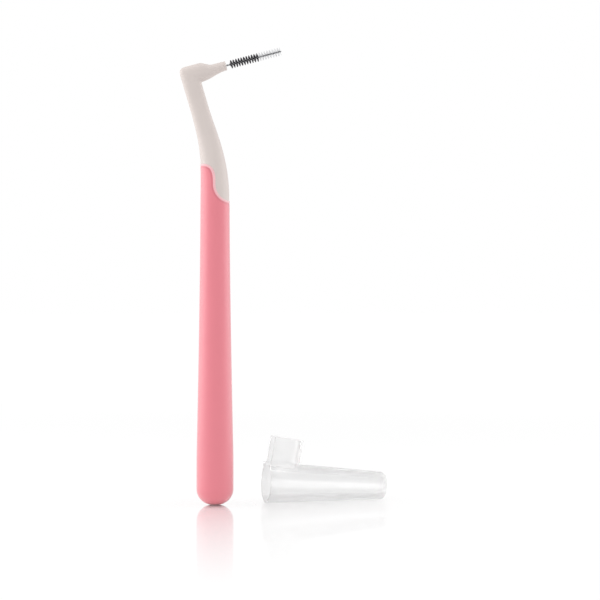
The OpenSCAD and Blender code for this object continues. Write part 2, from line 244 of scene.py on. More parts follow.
class NeckSizes(bpy.types.PropertyGroup):
    """The grey neck and head moulding."""

    bend_rise: length("Bend rise", "Rise from the taper's top to where the neck bends", 6.2)
    bend_radius: length("Bend radius", "Radius of the bend at the neck's middle", 60.0)
    lean: turn("Lean", "Lean of the neck from upright", 16.5)
    straight: length("Straight neck", "Length between the bend and the elbow", 12.9)
    width: length("Width", "Width of the neck seen from the side", 5.1)
    thickness: length("Thickness", "Thickness of the neck seen from the front", 4.0)
    narrow_rise: length("Narrowing rise", "Rise from the taper's top to where the neck narrows", 4.0)
    narrow_length: length("Narrowing length", "Length over which the neck narrows", 26.0)
    head_tilt: turn("Head tilt", "Angle of the head above level", 14.8)
    elbow_radius: length("Elbow radius", "Radius inside the elbow", 0.4)
    head_height: length("Head height", "Height of the head at the elbow", 5.15)
    head_length: length("Head length", "From the elbow's inner corner to the nose", 7.4)
    nose_diameter: length("Nose diameter", "Across the nose that holds the wire", 2.6)
    nose_rise: length("Nose rise", "Height of the wire above the elbow's inner corner", 2.6)
    nose_bevel: length("Nose bevel", "Rounding of the nose's edge", 0.2)
    collar: length("Collar", "Length of the plain collar at the nose", 0.65)
    colour: tint("Colour", "Warm grey of the moulding", (0.645, 0.575, 0.545))
    roughness: share("Roughness", "Roughness of the moulding", 0.48)


class WireSizes(bpy.types.PropertyGroup):
    """The twisted wire and the filaments that it holds."""

    diameter: length("Wire diameter", "Across one run of the wire", 0.23)
    reach: length("Wire reach", "From the twist's axis to the middle of one run", 0.145)
    free: length("Free length", "Twisted wire beyond the nose", 15.8)
    inside: length("Held length", "Twisted wire inside the nose", 4.0)
    pitch: length("Pitch", "Length of one full turn of the twist", 1.48)
    bare: length("Bare wire", "From the nose to the first filaments", 1.05)
    black_length: length("Black length", "Length of the black section", 8.15)
    clear_length: length("Clear length", "Length of the clear section", 6.3)
    gap: length("Gap", "Between the two sections", 0.04)
    black_diameter: length("Black diameter", "Across the black filaments", 2.45)
    clear_diameter: length("Clear diameter", "Across the clear filaments", 2.5)
    filament: length("Filament", "Thickness of one filament", 0.055)
    black_count: filament_count("Black filaments", 330, least=112)
    clear_count: filament_count("Clear filaments", 230, least=80)
    wire_colour: tint("Wire colour", "Steel of the wire", COLOURS["wire"])
    black_colour: tint("Black", "Black of the filaments", (0.014, 0.01, 0.016))
    clear_colour: tint("Clear", "Tint of the clear filaments", COLOURS["bristles_clear"])


class CapLooks(bpy.types.PropertyGroup):
    """The clear travel cap."""

    colour: tint("Colour", "Tint of the clear plastic", (0.91, 0.911, 0.912))
    roughness: share("Roughness", "Frosting of the clear plastic", 0.22)
    haze: share("Haze", "How much of the plastic's own body shows in its clearness", 0.1)
    thinness: share("Thinness", "How much light the walls let straight on, as thin walls do", 0.6)
    shade: share("Shade", "What is left of the light that a wall lets straight on", 0.935)
    # Behind the front rim the plastic's colour is painted darker: painted shade of the cap's mouth
    rim_reach: length("Rim reach", "How far behind the front rim the plastic is darker", 2.4)
    rim_shade_tone: share("Rim tone", "Tone of the plastic at the front rim", 0.88)
    lean: share("Lean", "How far the front rim leans back for each unit of height", 0.1)


class StudioSizes(bpy.types.PropertyGroup):
    """The camera, the lamps and the floor."""

    azimuth: turn("Camera azimuth", "Turn of the camera round the part", -15.0)
    ahead: length("Target ahead", "From the handle's axis to where the camera looks, along X", 24.304)
    target_z: length("Target height", "Where the camera looks", 56.5)
    distance: length("Distance", "From the target to the camera", 466.7)
    focal: FloatProperty(name="Lens", description="Focal length in millimetres", default=100.0, min=1.0)
    key: lamp_power("Key lamp", "Power of the soft lamp on the left", 1.35)
    fill: lamp_power("Fill lamp", "Power of the soft lamp on the right", 0.82)
    top: lamp_power("Top lamp", "Power of the soft lamp above", 0.9)
    strip: lamp_power("Strip lamp", "Power of the strip lamp that only the cap sees", 1.85)
    ambient: share("Ambient", "Strength of the room's light", 0.76)
    mirror_reach: length("Mirror reach", "How far from the handle the floor still mirrors it", 137.0)


def eased(t):
    """A smooth step from 0 to 1: three squares less two cubes of t, with t held between 0 and 1."""
    t = np.clip(t, 0.0, 1.0)
    return t * t * (3.0 - 2.0 * t)


def squared(wave, power):
    """A cosine or sine to the power 2 / power with its sign kept, which squares up an ellipse."""
    return np.sign(wave) * np.abs(wave) ** (2.0 / power)


class BrushForm:
    """Where the handle, neck and head lie, in metres, worked out from the panel's sizes.

    The handle's axis is at x = 0 here and the head points to +X; add_solid turns every piece into its
    stance. A section is a superellipse across the middle line. Its place is the distance s along that line
    from just below the taper's top, and a point on it has an angle, with 0 towards the bristles and half a
    turn at the back.
    """

    def __init__(self, scene):
        self.handle = scene.interdental_handle
        self.neck = scene.interdental_neck
        self.base = self.handle.taper_top - BASE_DROP
        self.bend_z = self.handle.taper_top + self.neck.bend_rise
        self.upright = self.bend_z - self.base
        self.arc = self.neck.bend_radius * self.neck.lean
        self.length = self.upright + self.arc + self.neck.straight
        self.base_diameter = self.handle.top_diameter - 2.0 * (self.handle.proud + LAP)
        self.along = np.array([math.cos(self.neck.head_tilt), 0.0, math.sin(self.neck.head_tilt)])
        self.up = np.array([-math.sin(self.neck.head_tilt), 0.0, math.cos(self.neck.head_tilt)])
        tip = self.place(self.length, self.neck.width / 2, 0.0)
        lean = self.neck.lean
        self.elbow = tip + self.neck.elbow_radius * np.array([math.cos(lean), 0.0, math.sin(lean)])
        self.head_start = self.elbow + self.neck.elbow_radius * self.up
        self.nose = self.head_start + self.neck.head_length * self.along + self.neck.nose_rise * self.up

    def place(self, s, across, y):
        """The middle line runs up, round the bend's arc and on straight, with across and y square to it."""
        s, across, y = np.broadcast_arrays(np.asarray(s, float), across, y)
        tilt = np.clip((s - self.upright) / self.arc, 0.0, 1.0) * self.neck.lean
        beyond = np.maximum(s - self.upright - self.arc, 0.0)
        radius = self.neck.bend_radius
        x = -radius * (1.0 - np.cos(tilt)) - beyond * np.sin(tilt)
        z = np.minimum(self.base + s, self.bend_z) + radius * np.sin(tilt) + beyond * np.cos(tilt)
        return np.stack([x + across * np.cos(tilt), y, z + across * np.sin(tilt)], axis=-1)

    def neck_section(self, s):
        """Half width, half thickness and power of the grey section, all eased over the narrowing."""
        start = self.handle.taper_top + self.neck.narrow_rise - self.base
        part = eased((s - start) / self.neck.narrow_length)
        half_width = (self.base_diameter + (self.neck.width - self.base_diameter) * part) / 2
        half_thickness = (self.base_diameter + (self.neck.thickness - self.base_diameter) * part) / 2
        return half_width, half_thickness, ROUND_POWER + (NECK_POWER - ROUND_POWER) * part

    def handle_radius(self, z):
        """An arc at the lower end, a straight stretch, then a taper that is a power of the height left."""
        foot = self.handle.end_radius
        widest = self.handle.diameter / 2
        below = 1.0 - np.clip(z / foot, 0.0, 1.0)
        land = foot + self.handle.straight
        t = np.clip((z - land) / (self.handle.taper_top - land), 0.0, 1.0)
        drop = (widest - self.handle.top_diameter / 2) * (1.0 - (1.0 - t) ** TAPER_POWER)
        return widest - foot + foot * np.sqrt(np.maximum(1.0 - below * below, 0.0)) - drop

    def grip_section(self, s):
        """The handle's round section below the taper's top, and the neck's grown a little above it."""
        z = self.base + s
        half_width, half_thickness, power = self.neck_section(s)
        grown = self.handle.proud + LAP * (1.0 - eased((z - self.handle.taper_top) / LAP_EASE))
        below = z < self.handle.taper_top
        radius = self.handle_radius(z)
        return (
            np.where(below, radius, half_width + grown),
            np.where(below, radius, half_thickness + grown),
            np.where(below, ROUND_POWER, power),
        )

    def skin(self, section, angle, s, stand):
        """The superellipse point at an angle round the section at s, moved out by stand."""
        half_width, half_thickness, power = section(s)
        across = (half_width + stand) * squared(np.cos(angle), power)
        return self.place(s, across, (half_thickness + stand) * squared(np.sin(angle), power))

    def seam_outline(self):
        """The seam in the XZ plane: a superelliptic quarter over the back, then an elliptic quarter."""
        handle = self.handle
        top = handle.top_diameter / 2
        reach = top + SEAM_OVERRUN
        front = handle.taper_top + handle.seam_front
        middle = front + handle.seam_side
        turns = np.linspace(0.0, math.pi / 2, SEAM_POINTS)
        upper_x = -reach + (reach + handle.seam_lead) * squared(np.sin(turns), SEAM_POWER)
        upper_z = middle + handle.seam_back * squared(np.cos(turns), SEAM_POWER)
        lower_x = top - (top - handle.seam_lead) * np.cos(turns[1:])
        lower_z = middle - handle.seam_side * np.sin(turns[1:])
        return np.concatenate([upper_x, lower_x]), np.concatenate([upper_z, lower_z])

    def seam(self, count):
        """Angle and s of the seam on the grey skin from the back to the front, evenly spaced along it.

        Each point of the outline is carried onto the skin by stepping s along the middle line until the
        section at s passes through it; the angle then follows from how far across the section it lies.
        """
        x, z = self.seam_outline()
        s = z - self.base
        for _ in range(SEAM_STEPS):
            origin = self.place(s, 0.0, 0.0)
            tilt = np.clip((s - self.upright) / self.arc, 0.0, 1.0) * self.neck.lean
            dx, dz = x - origin[:, 0], z - origin[:, 2]
            across = dx * np.cos(tilt) + dz * np.sin(tilt)
            s = s + dz * np.cos(tilt) - dx * np.sin(tilt)
        half_width, _, power = self.neck_section(s)
        fraction = across / half_width
        inside = np.flatnonzero(np.abs(fraction) < 1.0)
        first, last = inside[0], inside[-1]
        angle = np.arccos(np.sign(fraction[inside]) * np.abs(fraction[inside]) ** (power[inside] / 2.0))
        angle = np.concatenate([[math.pi], angle, [0.0]])
        s = np.concatenate([[s[first]], s[inside], [s[last]]])
        points = self.skin(self.neck_section, angle, s, 0.0)
        walked = np.concatenate([[0.0], np.cumsum(np.linalg.norm(np.diff(points, axis=0), axis=1))])
        even = np.linspace(0.0, walked[-1], count + 1)
        return np.interp(even, walked, angle), np.interp(even, walked, s)

    def beside_seam(self, angle, s, distance):
        """The seam moved square to itself over the skin, towards the handle where distance is positive."""
        radius = self.neck_section(s)[0]
        wide_angle = np.concatenate([[2 * math.pi - angle[1]], angle, [-angle[-2]]])
        wide_s = np.concatenate([[s[1]], s, [s[-2]]])
        run_angle = (wide_angle[2:] - wide_angle[:-2]) * radius
        run_s = wide_s[2:] - wide_s[:-2]
        size = np.hypot(run_angle, run_s)
        return angle - distance * run_s / size / radius, s + distance * run_angle / size


def whole_rings(half):
    """Half rings from the back to the front get their other half, which is the same with y negated."""
    return np.concatenate([half, half[:, -2:0:-1] * np.array([1.0, -1.0, 1.0])], axis=1)


def ring_faces(rows, columns):
    """Quads between neighbouring rings of a grid whose rows close on themselves."""
    row, column = np.meshgrid(np.arange(rows - 1), np.arange(columns), indexing="ij")
    following = (column + 1) % columns
    corners = [row * columns + column, row * columns + following,
               (row + 1) * columns + following, (row + 1) * columns + column]
    return np.stack(corners, axis=-1).reshape(-1, 4).tolist()


def pole_faces(start, columns, pole, last):
    """Triangles from one ring to a single point, wound on from the last ring or back from the first."""
    column = np.arange(columns)
    following = (column + 1) % columns
    ends = (start + column, start + following) if last else (start + following, start + column)
    return np.stack([ends[0], ends[1], np.full(columns, pole)], axis=-1).tolist()


def seam_lid_faces(start, columns, last):
    """Strips across one ring between the points that mirror each other, which close it along the seam."""
    half = columns // 2
    faces = []
    for k in range(half):
        near, far = k, k + 1
        corners = [near, far, (columns - far) % columns, (columns - near) % columns]
        kept = [corner for position, corner in enumerate(corners) if corner not in corners[:position]]
        face = [start + corner for corner in kept]
        faces.append(face if last else face[::-1])
    return faces


def add_solid(name, points, faces, slot, finish, from_seam=None):
    """Makes a closed mesh that faces outwards, rides on the brush and replaces the node of its slot's name.

    The points are turned about the handle's axis and moved there: x cos a + y sin a, and y cos a - x sin a.
    The signed volume is the sum over triangles of a corner times the cross product of the other two, over
    six; where it is negative every face is turned round.
    """
    points = np.asarray(points, float).reshape(-1, 3)
    stance = bpy.context.scene.interdental_handle.stance
    x, y, z = points.T
    turned_x = HANDLE_X + x * math.cos(stance) + y * math.sin(stance)
    points = np.stack([turned_x, y * math.cos(stance) - x * math.sin(stance), z], axis=-1)
    fans = [(face[0], face[k], face[k + 1]) for face in faces for k in range(1, len(face) - 1)]
    triangles = np.array(fans)
    a, b, c = points[triangles[:, 0]], points[triangles[:, 1]], points[triangles[:, 2]]
    if np.einsum("ij,ij->i", a, np.cross(b, c)).sum() < 0:
        faces = [face[::-1] for face in faces]
    mesh = bpy.data.meshes.new(name)
    mesh.from_pydata(points.tolist(), [], faces)
    if mesh.validate():
        raise RuntimeError(f"{name}: the mesh had faces that Blender had to mend")
    mesh.shade_smooth()
    mesh.set_sharp_from_angle(angle=SHARP_ANGLE)
    mesh.materials.append(finish)
    if from_seam is not None:
        distances = mesh.attributes.new("from_seam", "FLOAT", "POINT")
        distances.data.foreach_set("value", from_seam.astype(np.float32))
    piece = bpy.data.objects.new(name, mesh)
    bpy.context.scene.collection.objects.link(piece)
    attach(piece, "brush")
    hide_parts(slot)


class Signal:
    """A node socket that Python expressions can add to, take from, scale, divide and raise."""

    def __init__(self, finish, socket):
        self.finish = finish
        self.socket = socket

    def __add__(self, other):
        return self.finish.maths("ADD", self, other)

    def __radd__(self, other):
        return self.finish.maths("ADD", other, self)

    def __sub__(self, other):
        return self.finish.maths("SUBTRACT", self, other)

    def __rsub__(self, other):
        return self.finish.maths("SUBTRACT", other, self)

    def __mul__(self, other):
        return self.finish.maths("MULTIPLY", self, other)

    def __rmul__(self, other):
        return self.finish.maths("MULTIPLY", other, self)

    def __truediv__(self, other):
        return self.finish.maths("DIVIDE", self, other)

    def __pow__(self, other):
        return self.finish.maths("POWER", self, other)


class Finish:
    """A node tree for one finish, and the one way in which nodes are added to it."""

    def __init__(self, tree):
        self.tree = tree
        tree.nodes.clear()

    def node(self, kind, settings=None, inputs=None, output=0):
        """Adds a node, makes its settings, fills its sockets with values or links, and returns an output."""
        node = self.tree.nodes.new(kind)
        for name, value in (settings or {}).items():
            setattr(node, name, value)
        for key, value in (inputs or {}).items():
            if isinstance(value, Signal):
                self.tree.links.new(value.socket, node.inputs[key])
            else:
                node.inputs[key].default_value = value
        return Signal(self, node.outputs[output]) if node.outputs else node

    def maths(self, operation, first, second=0.0):
        """One step of arithmetic."""
        return self.node("ShaderNodeMath", {"operation": operation}, {0: first, 1: second})

    def places(self):
        """Object coordinates as one vector."""
        return self.node("ShaderNodeTexCoord", output="Object")

    def axis(self, places, name):
        """One coordinate of a vector."""
        return self.node("ShaderNodeSeparateXYZ", inputs={0: places}, output=name)

    def noise(self, places, scale, detail):
        """Smooth noise between 0 and 1, with scale counted over one metre."""
        return self.node("ShaderNodeTexNoise", inputs={"Vector": places, "Scale": scale, "Detail": detail})

    def blend(self, amount, first, second):
        """A mix of two colours."""
        settings = {"data_type": "RGBA"}
        return self.node("ShaderNodeMix", settings, {0: amount, 6: first, 7: second}, output=2)

    def mottled(self, noise, colour, darkest, palest):
        """A colour that noise moves between two tones of itself."""
        return self.blend(noise, scaled(colour, darkest), scaled(colour, palest))

    def clipped(self, signal):
        """A number held between 0 and 1."""
        return self.maths("MINIMUM", self.maths("MAXIMUM", signal, 0.0), 1.0)

    def surface(self, shader):
        """Ends the tree in a shader."""
        self.node("ShaderNodeOutputMaterial", inputs={"Surface": shader})


def grey(level):
    """A grey with full alpha."""
    return (level, level, level, 1.0)


def scaled(colour, factor):
    """A colour made lighter or darker, with full alpha."""
    return (*[min(channel * factor, 1.0) for channel in colour[:3]], 1.0)


def varied(value, spread, noise):
    """A number that noise moves by a spread: less the spread, plus twice the spread times the noise."""
    return value - spread + 2.0 * spread * noise


def new_finish(name):
    """A material with an empty node tree."""
    material = bpy.data.materials.new(name)
    material.use_nodes = True
    return material, Finish(material.node_tree)


def pink_satin(sizes):
    """Pink overmould: faint flow marks in colour and gloss, a paler lip at the seam and a darker line of
    painted shade below.

    The attribute from_seam is the distance from the seam in millimetres, measured over the surface. The line
    of painted shade fades to nothing at its reach on either side of its middle, and the lip over its fade
    before its edge.
    """
    material, finish = new_finish("pink_satin_overmould")
    flow = finish.noise(finish.places(), scale=90.0, detail=3.0)
    away = finish.node("ShaderNodeAttribute", {"attribute_name": "from_seam"}, output="Fac")
    colour = finish.mottled(flow, sizes.colour, darkest=0.965, palest=1.035)
    # Painted shade: a darker line where the groove between the lip's bead and the sleeve lies
    line = finish.clipped(1.0 - finish.maths("ABSOLUTE", away - SHADE_LINE_MIDDLE) / SHADE_LINE_REACH)
    colour = finish.blend(line, colour, scaled(sizes.colour, SHADE_LINE_TONE))
    lip = finish.clipped((LIP_EDGE - away) / LIP_FADE)
    colour = finish.blend(lip, colour, scaled(sizes.lip_colour, 1.0))
    shader = finish.node("ShaderNodeBsdfPrincipled", inputs={
        "Base Color": colour,
        "Roughness": varied(sizes.roughness, 0.03, flow),
        "IOR": 1.62,
        "Sheen Weight": sizes.sheen,
        "Sheen Roughness": 0.5,
    })
    finish.surface(shader)
    return material


def grey_satin(sizes):
    """Warm grey moulding: slightly uneven in tone and gloss."""
    material, finish = new_finish("warm_grey_moulding")
    flow = finish.noise(finish.places(), scale=160.0, detail=3.0)
    shader = finish.node("ShaderNodeBsdfPrincipled", inputs={
        "Base Color": finish.mottled(flow, sizes.colour, darkest=0.96, palest=1.04),
        "Roughness": varied(sizes.roughness, 0.04, flow),
        "IOR": 1.5,
    })
    finish.surface(shader)
    return material


def drawn_steel(sizes):
    """Drawn steel wire: fine marks in tone and gloss."""
    material, finish = new_finish("drawn_steel_wire")
    marks = finish.noise(finish.places(), scale=9000.0, detail=2.0)
    shader = finish.node("ShaderNodeBsdfPrincipled", inputs={
        "Base Color": finish.mottled(marks, sizes.wire_colour, darkest=0.45, palest=0.7),
        "Metallic": 1.0,
        "Roughness": varied(0.42, 0.08, marks),
    })
    finish.surface(shader)
    return material


def black_nylon(sizes):
    """Black filament: near black, with a little change of tone from one filament to the next."""
    material, finish = new_finish("black_filament")
    tone = finish.noise(finish.places(), scale=5000.0, detail=1.0)
    shader = finish.node("ShaderNodeBsdfPrincipled", inputs={
        "Base Color": finish.mottled(tone, sizes.black_colour, darkest=0.6, palest=2.2),
        "Roughness": varied(0.41, 0.07, tone),
    })
    finish.surface(shader)
    return material


def clear_nylon(sizes):
    """Clear filament: mostly see-through, with a pale body that is uneven from one filament to the next."""
    material, finish = new_finish("clear_filament")
    tone = finish.noise(finish.places(), scale=5000.0, detail=1.0)
    shader = finish.node("ShaderNodeBsdfPrincipled", inputs={
        "Base Color": finish.mottled(tone, sizes.clear_colour, darkest=0.62, palest=0.95),
        "Roughness": varied(0.25, 0.05, tone),
        "Alpha": varied(0.21, 0.08, tone),
    })
    finish.surface(shader)
    return material


def clear_plastic(looks):
    """Clear moulded plastic: tinted a little by each wall that light passes, softly frosted, with a gloss.

    The tint and the frosting come and go a little over the surface. Close behind the leaning front rim the
    colour is painted darker, as painted shade of the mouth, and the plastic bends more of the light.
    """
    material, finish = new_finish("clear_cap_plastic")
    places = finish.places()
    uneven = finish.noise(places, scale=220.0, detail=3.0)
    behind = finish.axis(places, "X") - CAP_FRONT - looks.lean * finish.axis(places, "Z")
    # Painted shade: the colour darkens close behind the front rim, where the mouth lies
    rim = finish.clipped(1.0 - behind / looks.rim_reach)
    tone = finish.mottled(uneven, looks.colour, darkest=0.985, palest=1.0)
    glass = finish.node("ShaderNodeBsdfPrincipled", inputs={
        "Base Color": finish.blend(rim, tone, scaled(looks.colour, looks.rim_shade_tone)),
        "Roughness": varied(looks.roughness, 0.03, uneven),
        "IOR": 1.49,
        "Transmission Weight": 1.0,
    })
    straight = finish.node("ShaderNodeBsdfTransparent", inputs={"Color": grey(looks.shade)})
    let_on = looks.thinness * (1.0 - RIM_BEND * rim)
    clear = finish.node("ShaderNodeMixShader", inputs={0: let_on, 1: glass, 2: straight})
    haze = finish.node("ShaderNodeBsdfDiffuse", inputs={"Color": grey(HAZE_TONE)})
    finish.surface(finish.node("ShaderNodeMixShader", inputs={0: looks.haze, 1: clear, 2: haze}))
    return material


def build_grip(scene):
    """The sleeve from its rounded foot to a soft lip along the seam.

    Low rings have evenly spaced angles. Over a short stretch the angles ease into those of the seam's
    points, and from there each column runs straight up to the seam, where rings set off beside it draw the
    lip. The lowest rings lie on a quarter of a circle.
    """
    form = BrushForm(scene)
    even = np.linspace(math.pi, 0.0, HALF_RING + 1)
    seam_angle, seam_s = form.seam(HALF_RING)
    foot = form.handle.end_radius
    land = foot + form.handle.straight
    heights = np.concatenate([
        foot * (1.0 - np.cos(np.linspace(0.0, math.pi / 2, FOOT_RINGS))),
        np.linspace(foot, land, STRAIGHT_RINGS)[1:],
        land + (EVEN_BELOW - land) * np.linspace(0.0, 1.0, TAPER_RINGS)[1:],
    ])
    rows = [(even, np.full(HALF_RING + 1, z - form.base), 0.0) for z in heights]
    lip_angle, lip_s = form.beside_seam(seam_angle, seam_s, LIP_PROFILE[0][0] * MM)
    start_s = EVEN_BELOW - form.base
    for t in np.linspace(0.0, 1.0, EASING_RINGS)[1:]:
        s = np.full(HALF_RING + 1, start_s + (SEAM_ANGLES_FROM - start_s) * t)
        rows.append((even + (lip_angle - even) * eased(t), s, 0.0))
    for t in np.linspace(0.0, 1.0, COLUMN_RINGS)[1:-1]:
        rows.append((lip_angle, SEAM_ANGLES_FROM + (lip_s - SEAM_ANGLES_FROM) * t, 0.0))
    for distance, stand in LIP_PROFILE:
        angle, s = form.beside_seam(seam_angle, seam_s, distance * MM)
        rows.append((angle, s, stand * MM))
    half_rings = [form.skin(form.grip_section, angle, s, stand) for angle, s, stand in rows]
    rings = whole_rings(np.stack(half_rings))
    count, columns = rings.shape[:2]
    points = np.concatenate([rings.reshape(-1, 3), [[0.0, 0.0, 0.0]]])
    faces = ring_faces(count, columns)
    faces += pole_faces(0, columns, count * columns, False)
    faces += seam_lid_faces((count - 1) * columns, columns, True)
    distances = np.full(count, FAR_FROM_SEAM)
    distances[-len(LIP_PROFILE):] = [distance for distance, _ in LIP_PROFILE]
    from_seam = np.append(np.repeat(distances, columns), FAR_FROM_SEAM)
    add_solid("grip_sleeve", points, faces, "grip", pink_satin(form.handle), from_seam)


def head_rings(form, angles):
    """Sections of the elbow and the head.

    The elbow's sections fan round a centre just outside its inner corner; the outer reach is where the back
    line and the top line would meet, rounded by an eighth power mean. The head's top drops, its underside
    rises and its sides close in by smooth steps, the nose's edge is a quarter of a circle, and a shallow
    groove, a bell curve of the distance from it, marks off the collar.
    """
    neck = form.neck
    sideways = np.array([0.0, 1.0, 0.0])
    fan = np.linspace(0.0, 1.0, ELBOW_RINGS)[1:, None]
    begin, end = math.pi + neck.lean, math.pi / 2 + neck.head_tilt
    turned = begin + (end - begin) * fan
    to_back = np.maximum(np.cos(turned - begin), 0.0) / (neck.width + neck.elbow_radius)
    to_top = np.maximum(np.cos(turned - end), 0.0) / (neck.head_height + neck.elbow_radius)
    corner = (to_back ** ELBOW_POWER + to_top ** ELBOW_POWER) ** (-1.0 / ELBOW_POWER)
    outer = corner - ELBOW_FLAT * np.sin(math.pi * fan)
    ray = np.stack([np.cos(turned), 0.0 * turned, np.sin(turned)], axis=-1)
    cosine, sine = squared(np.cos(angles), NECK_POWER), squared(np.sin(angles), NECK_POWER)
    middle, spread = (neck.elbow_radius + outer) / 2, (outer - neck.elbow_radius) / 2
    elbow = form.elbow + (middle - spread * cosine)[..., None] * ray
    elbow = elbow + (neck.thickness / 2 * sine)[..., None] * sideways

    bevel = neck.nose_bevel * (1.0 - np.cos(np.linspace(0.0, math.pi / 2, BEVEL_RINGS)))
    sunk = neck.nose_bevel * (1.0 - np.sqrt(np.maximum(1.0 - (bevel / neck.nose_bevel) ** 2, 0.0)))
    ring = neck.head_length - neck.collar
    edge = neck.head_length - neck.nose_bevel
    straight = np.concatenate([
        np.linspace(0.0, ring - GROOVE_ZONE, HEAD_RINGS)[1:],
        np.linspace(ring - GROOVE_ZONE, ring + GROOVE_ZONE, GROOVE_RINGS)[1:],
        np.linspace(ring + GROOVE_ZONE, edge, COLLAR_RINGS)[1:],
    ])
    run = np.concatenate([straight, edge + bevel[1:]])[:, None]
    inset = np.concatenate([0.0 * straight, sunk[1:]])[:, None]
    groove = GROOVE * np.exp(-(((run - ring) / GROOVE) ** 2))
    part = run / neck.head_length
    nose = neck.nose_diameter / 2
    top_end = neck.nose_rise + nose
    top_part = eased((part - TOP_START) / TOP_RUN)
    top = neck.head_height + (top_end - neck.head_height) * top_part - inset - groove
    under = (neck.nose_rise - nose) * eased(part / UNDER_RUN) + inset + groove
    side_part = eased((part - SIDE_START) / SIDE_RUN)
    side = neck.thickness / 2 + (nose - neck.thickness / 2) * side_part - inset - groove
    power = NECK_POWER - (NECK_POWER - ROUND_POWER) * side_part
    cosine, sine = squared(np.cos(angles), power), squared(np.sin(angles), power)
    rise = (top + under) / 2 - (top - under) / 2 * cosine
    head = form.head_start + run[..., None] * form.along + rise[..., None] * form.up
    head = head + (side * sine)[..., None] * sideways
    return elbow, head


def build_neck(scene):
    """The grey moulding from the seam to the nose, with a small dimple where the wire leaves it.

    It keeps the angles of the seam's points at first, and they ease into even ones higher up.
    """
    form = BrushForm(scene)
    even = np.linspace(math.pi, 0.0, HALF_RING + 1)
    seam_angle, seam_s = form.seam(HALF_RING)
    rows = [form.beside_seam(seam_angle, seam_s, distance * MM) for distance in NECK_EDGE]
    start_angle, start_s = rows[-1]
    for t in np.linspace(0.0, 1.0, NECK_COLUMN_RINGS)[1:]:
        rows.append((start_angle, start_s + (NECK_SEAM_ANGLES_TO - start_s) * t))
    for t in np.linspace(0.0, 1.0, NECK_EASING_RINGS)[1:]:
        s = NECK_SEAM_ANGLES_TO + (NECK_EVEN_FROM - NECK_SEAM_ANGLES_TO) * t
        rows.append((start_angle + (even - start_angle) * eased(t), np.full(HALF_RING + 1, s)))
    for s in np.linspace(NECK_EVEN_FROM, form.length, NECK_EVEN_RINGS)[1:]:
        rows.append((even, np.full(HALF_RING + 1, s)))
    neck = np.stack([form.skin(form.neck_section, angle, s, 0.0) for angle, s in rows])
    elbow, head = head_rings(form, even)
    rings = whole_rings(np.concatenate([neck, elbow, head]))
    around = rings[-1] - form.nose
    around = around / np.linalg.norm(around, axis=1)[:, None]
    dimple = [
        form.nose + DIMPLE_RIM * around,
        form.nose + DIMPLE_INNER * around - DIMPLE_STEP * form.along,
    ]
    rings = np.concatenate([rings, np.stack(dimple)])
    count, columns = rings.shape[:2]
    pole = form.nose - DIMPLE_DEPTH * form.along
    points = np.concatenate([rings.reshape(-1, 3), [pole]])
    faces = ring_faces(count, columns)
    faces += seam_lid_faces(0, columns, False)
    faces += pole_faces((count - 1) * columns, columns, count * columns, True)
    add_solid("neck_moulding", points, faces, "neck", grey_satin(form.neck))


def on_wire(form, points):
    """Carries points drawn along +Z, with zero at the nose's face, onto the wire's axis."""
    frame_of_wire = np.stack([-form.up, np.array([0.0, 1.0, 0.0]), form.along])
    return form.nose + points @ frame_of_wire


def build_wire(scene):
    """Two runs of one wire wound round each other and joined by a fold at the tip.

    A run is a helix about the wire's axis, and the fold is half a turn from one run over to the other. A
    circle is carried along the path, square to it.
    """
    form = BrushForm(scene)
    sizes = scene.interdental_wire
    axis = np.array([0.0, 0.0, 1.0])
    fold_z = sizes.free - sizes.reach - sizes.diameter / 2
    steps = int(round((fold_z + sizes.inside) / sizes.pitch * WIRE_STEPS_A_TURN))
    z = np.linspace(-sizes.inside, fold_z, steps)
    sweep = 2.0 * math.pi * sizes.reach / sizes.pitch

    def run(heights, side, way):
        """One run's path, the direction outwards from the axis and the direction of travel."""
        turned = 2.0 * math.pi * heights / sizes.pitch + side
        out = np.stack([np.cos(turned), np.sin(turned), 0.0 * turned], axis=-1)
        around = np.stack([-np.sin(turned), np.cos(turned), 0.0 * turned], axis=-1)
        along = way * (sweep * around + axis) / math.hypot(sweep, 1.0)
        return sizes.reach * out + heights[:, None] * axis, out, along

    up_path, up_out, up_along = run(z, math.pi / 2, 1.0)
    down_path, down_out, down_along = run(z[::-1], 3.0 * math.pi / 2, -1.0)
    bend = np.linspace(0.0, math.pi, FOLD_POINTS)[1:-1, None]
    fold_out = np.cos(bend) * up_out[-1] + np.sin(bend) * axis
    fold_along = np.cos(bend) * axis - np.sin(bend) * up_out[-1]
    path = np.concatenate([up_path, fold_z * axis + sizes.reach * fold_out, down_path])
    out = np.concatenate([up_out, fold_out, down_out])
    along = np.concatenate([up_along, fold_along, down_along])
    across = np.cross(along, out)
    turned = np.linspace(0.0, 2.0 * math.pi, WIRE_SIDES, endpoint=False)[None, :, None]
    circle = np.cos(turned) * out[:, None] + np.sin(turned) * across[:, None]
    rings = path[:, None] + sizes.diameter / 2 * circle
    count = len(rings)
    points = np.concatenate([on_wire(form, rings.reshape(-1, 3)), on_wire(form, path[[0, -1]])])
    faces = ring_faces(count, WIRE_SIDES)
    faces += pole_faces(0, WIRE_SIDES, count * WIRE_SIDES, False)
    faces += pole_faces((count - 1) * WIRE_SIDES, WIRE_SIDES, count * WIRE_SIDES + 1, True)
    add_solid("twisted_wire", points, faces, "wire", drawn_steel(sizes))


